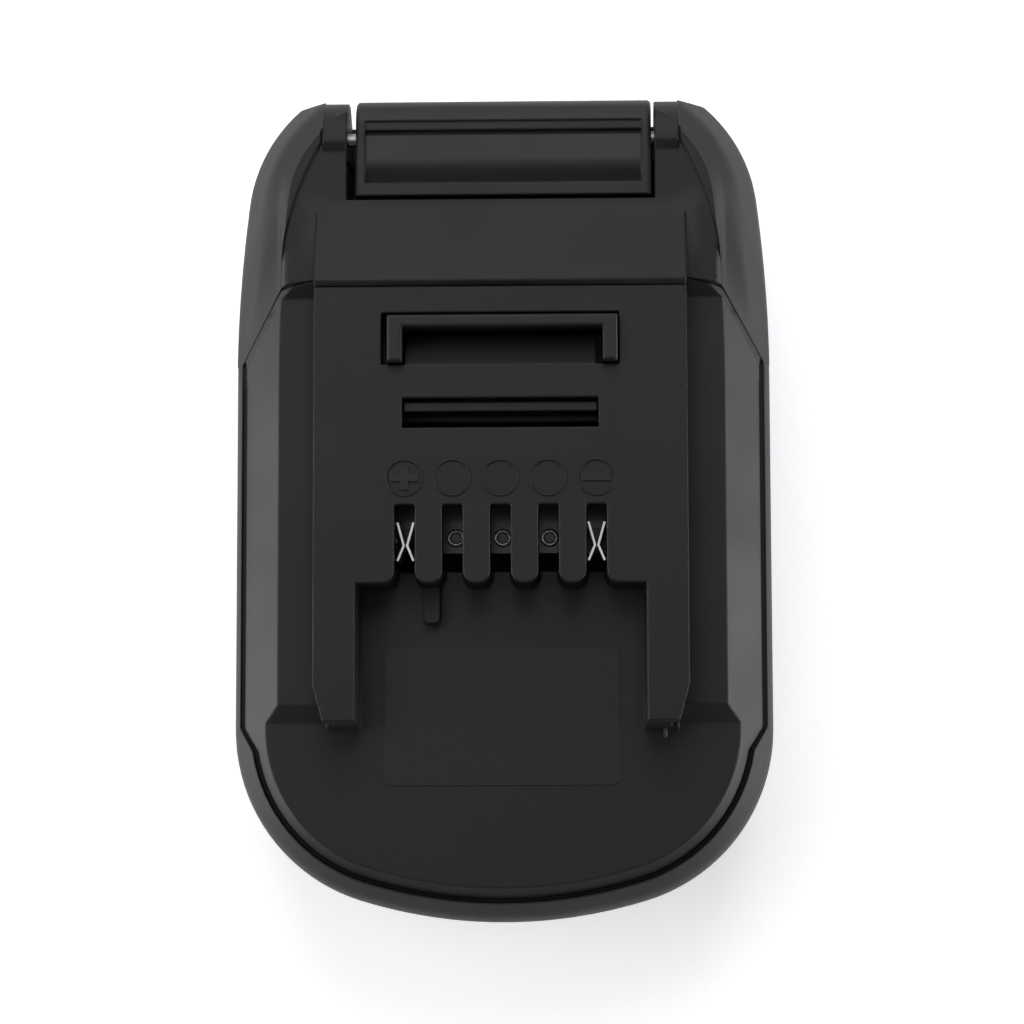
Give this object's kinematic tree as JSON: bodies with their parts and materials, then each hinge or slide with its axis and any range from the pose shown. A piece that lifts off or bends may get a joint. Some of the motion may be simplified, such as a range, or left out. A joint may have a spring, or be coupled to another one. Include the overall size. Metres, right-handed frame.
{
  "type": "tool battery adapter",
  "caption": "Adapter that slides onto a battery and carries a tool: slotted contact platform, sprung latch hook and rocking release button on a two-shell plastic body.",
  "frame": {"origin": "centre of the overall box, on the resting plane of the battery side", "axes": "+X to the right seen from above with the button at the top, +Y towards the release button, +Z from the battery side to the tool side"},
  "size_m": [0.078, 0.1188, 0.048],
  "materials": {
    "housing_plastic": "fine spark-eroded grain",
    "cover_plastic": "fine spark-eroded grain",
    "button_plastic": "fine grain, slightly polished by fingers",
    "latch_plastic": "smooth moulded",
    "block_plastic": "smooth moulded",
    "bright_steel": "ground",
    "spring_steel": "drawn wire",
    "screw_steel": "zinc plated",
    "tinned_contact": "tin plated sheet",
    "blade_metal": "stamped sheet",
    "solder": "bright solder",
    "board_green": "solder mask",
    "red_insulation": "soft insulation",
    "black_insulation": "soft insulation",
    "label_film": "bare printed film"
  },
  "bodies": {
    "adapter": {"battery_side_housing": "housing_plastic", "tool_side_cover": "cover_plastic", "pivot_pin": "bright_steel", "latch_spring_left": "spring_steel", "latch_spring_right": "spring_steel", "contact_board": "board_green", "positive_clip": "tinned_contact", "negative_clip": "tinned_contact", "clip_solder_joints": "solder", "spare_pads": "solder", "board_screws": "screw_steel", "blade_block": "block_plastic", "positive_blade": "blade_metal", "negative_blade": "blade_metal", "block_screws": "screw_steel", "positive_lead": "red_insulation", "negative_lead": "black_insulation", "lead_solder_joints": "solder", "case_screws": "screw_steel", "blank_label": "label_film"},
    "button": {"release_button": "button_plastic"},
    "latch": {"latch_slider": "latch_plastic"}
  },
  "joints": [
    {"name": "button_press", "type": "hinge", "parent": "adapter", "child": "button", "pos_m": [0, 0.05337, 0.0394], "axis": [1, 0, 0], "range_deg": [0, 16.4]},
    {"name": "latch_travel", "type": "slide", "parent": "adapter", "child": "latch", "axis": [0, 0, -1], "range_m": [0, 0.0025], "stiffness_N_per_m": 400, "springref_m": -0.004, "deforming": ["latch_spring_left", "latch_spring_right"]}
  ],
  "couplings": [
    {"joint": "button_press", "follows": "latch_travel", "rad_per_m": 114.49}
  ]
}
